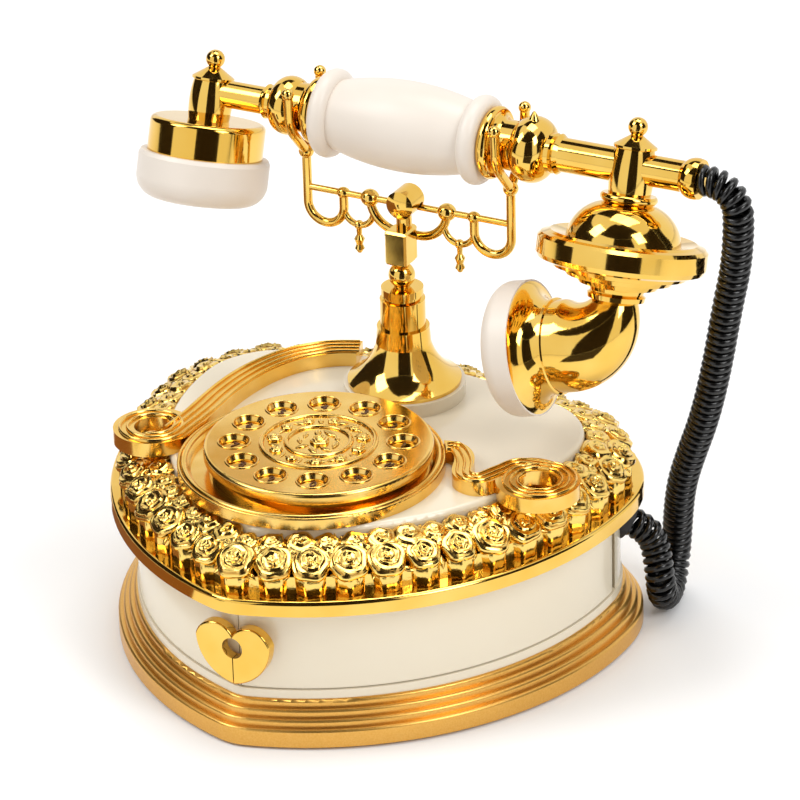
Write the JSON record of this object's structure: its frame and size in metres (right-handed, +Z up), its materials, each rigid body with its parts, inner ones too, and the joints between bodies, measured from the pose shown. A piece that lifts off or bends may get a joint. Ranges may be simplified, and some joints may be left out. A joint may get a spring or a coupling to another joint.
{
  "type": "cradle telephone",
  "caption": "French-style cradle telephone: gold fork holding a long handset over a shield-shaped white box base with a rose garland, push-button dial and two swing-out trays.",
  "frame": {"origin": "on the table under the middle of the body, in the underside of the felt pad", "axes": "+Z up; -Y towards the pointed front with the heart pull; +X towards the mouthpiece end"},
  "size_m": [0.253, 0.1921, 0.2086],
  "materials": {
    "felt": "matte",
    "bronze_gold": "satin",
    "yellow_gold": "polished",
    "gilt_plastic": "gloss",
    "ivory": "gloss",
    "steel": "satin",
    "black_plastic": "matte",
    "green_board": "matte",
    "cord_black": "gloss"
  },
  "bodies": {
    "base": {"felt_pad": "felt", "base_moulding": "bronze_gold", "bottom_plate": "black_plastic", "bottom_screws": "steel", "sill_plate": "ivory", "rear_shell": "ivory", "hinge_pins": "steel", "rim_plate": "gilt_plastic", "rose_garland": "gilt_plastic", "top_cover": "ivory", "dial_ring": "gilt_plastic", "dial_base": "gilt_plastic", "keypad_board": "green_board", "dial_plate": "gilt_plastic", "dial_medallion": "gilt_plastic", "left_scroll": "gilt_plastic", "right_scroll": "gilt_plastic", "post_bell": "yellow_gold", "post_tube": "yellow_gold", "hook_switch": "black_plastic", "main_board": "green_board", "ringer": "black_plastic", "line_jack": "black_plastic", "cord_gland": "black_plastic", "handset_cord": "cord_black"},
    "left_tray_body": {"left_tray": "ivory", "left_pull": "gilt_plastic"},
    "right_tray_body": {"right_tray": "ivory", "right_pull": "gilt_plastic"},
    "hook": {"plunger_rod": "yellow_gold", "fork_block": "yellow_gold", "fork_medallion": "yellow_gold", "cradle_fork": "yellow_gold"},
    "handset": {"grip": "ivory", "tie_rod": "steel", "ear_arm": "gilt_plastic", "ear_socket": "gilt_plastic", "ear_drum": "gilt_plastic", "ear_cap": "ivory", "receiver": "black_plastic", "mouth_arm": "gilt_plastic", "mouth_socket": "gilt_plastic", "mouth_body": "gilt_plastic", "mouth_horn": "gilt_plastic", "mouth_ring": "ivory", "microphone": "black_plastic", "end_sleeve": "gilt_plastic"},
    "key_1_body": {"key_1": "gilt_plastic"},
    "key_2_body": {"key_2": "gilt_plastic"},
    "key_3_body": {"key_3": "gilt_plastic"},
    "key_4_body": {"key_4": "gilt_plastic"},
    "key_5_body": {"key_5": "gilt_plastic"},
    "key_6_body": {"key_6": "gilt_plastic"},
    "key_7_body": {"key_7": "gilt_plastic"},
    "key_8_body": {"key_8": "gilt_plastic"},
    "key_9_body": {"key_9": "gilt_plastic"},
    "key_0_body": {"key_0": "gilt_plastic"},
    "key_star_body": {"key_star": "gilt_plastic"},
    "key_hash_body": {"key_hash": "gilt_plastic"}
  },
  "joints": [
    {"name": "handset_lift", "type": "slide", "parent": "base", "child": "handset", "axis": [0, 0, 1], "range_m": [0, 0.1], "deforming": ["handset_cord"]},
    {"name": "hook_rise", "type": "slide", "parent": "base", "child": "hook", "axis": [0, 0, 1], "range_m": [0, 0.005]},
    {"name": "left_tray_swing", "type": "hinge", "parent": "base", "child": "left_tray_body", "pos_m": [-0.08878, 0.0385, 0.04], "axis": [0, 0, -1], "range_deg": [0, 60]},
    {"name": "right_tray_swing", "type": "hinge", "parent": "base", "child": "right_tray_body", "pos_m": [0.08878, 0.0385, 0.04], "axis": [0, 0, 1], "range_deg": [0, 60]},
    {"name": "key_1_press", "type": "slide", "parent": "base", "child": "key_1_body", "axis": [0, 0, -1], "range_m": [0, 0.0012], "stiffness_N_per_m": 400},
    {"name": "key_2_press", "type": "slide", "parent": "base", "child": "key_2_body", "axis": [0, 0, -1], "range_m": [0, 0.0012], "stiffness_N_per_m": 400},
    {"name": "key_3_press", "type": "slide", "parent": "base", "child": "key_3_body", "axis": [0, 0, -1], "range_m": [0, 0.0012], "stiffness_N_per_m": 400},
    {"name": "key_4_press", "type": "slide", "parent": "base", "child": "key_4_body", "axis": [0, 0, -1], "range_m": [0, 0.0012], "stiffness_N_per_m": 400},
    {"name": "key_5_press", "type": "slide", "parent": "base", "child": "key_5_body", "axis": [0, 0, -1], "range_m": [0, 0.0012], "stiffness_N_per_m": 400},
    {"name": "key_6_press", "type": "slide", "parent": "base", "child": "key_6_body", "axis": [0, 0, -1], "range_m": [0, 0.0012], "stiffness_N_per_m": 400},
    {"name": "key_7_press", "type": "slide", "parent": "base", "child": "key_7_body", "axis": [0, 0, -1], "range_m": [0, 0.0012], "stiffness_N_per_m": 400},
    {"name": "key_8_press", "type": "slide", "parent": "base", "child": "key_8_body", "axis": [0, 0, -1], "range_m": [0, 0.0012], "stiffness_N_per_m": 400},
    {"name": "key_9_press", "type": "slide", "parent": "base", "child": "key_9_body", "axis": [0, 0, -1], "range_m": [0, 0.0012], "stiffness_N_per_m": 400},
    {"name": "key_0_press", "type": "slide", "parent": "base", "child": "key_0_body", "axis": [0, 0, -1], "range_m": [0, 0.0012], "stiffness_N_per_m": 400},
    {"name": "key_star_press", "type": "slide", "parent": "base", "child": "key_star_body", "axis": [0, 0, -1], "range_m": [0, 0.0012], "stiffness_N_per_m": 400},
    {"name": "key_hash_press", "type": "slide", "parent": "base", "child": "key_hash_body", "axis": [0, 0, -1], "range_m": [0, 0.0012], "stiffness_N_per_m": 400}
  ],
  "couplings": [
    {"joint": "hook_rise", "follows": "handset_lift", "ratio": 0.05}
  ]
}
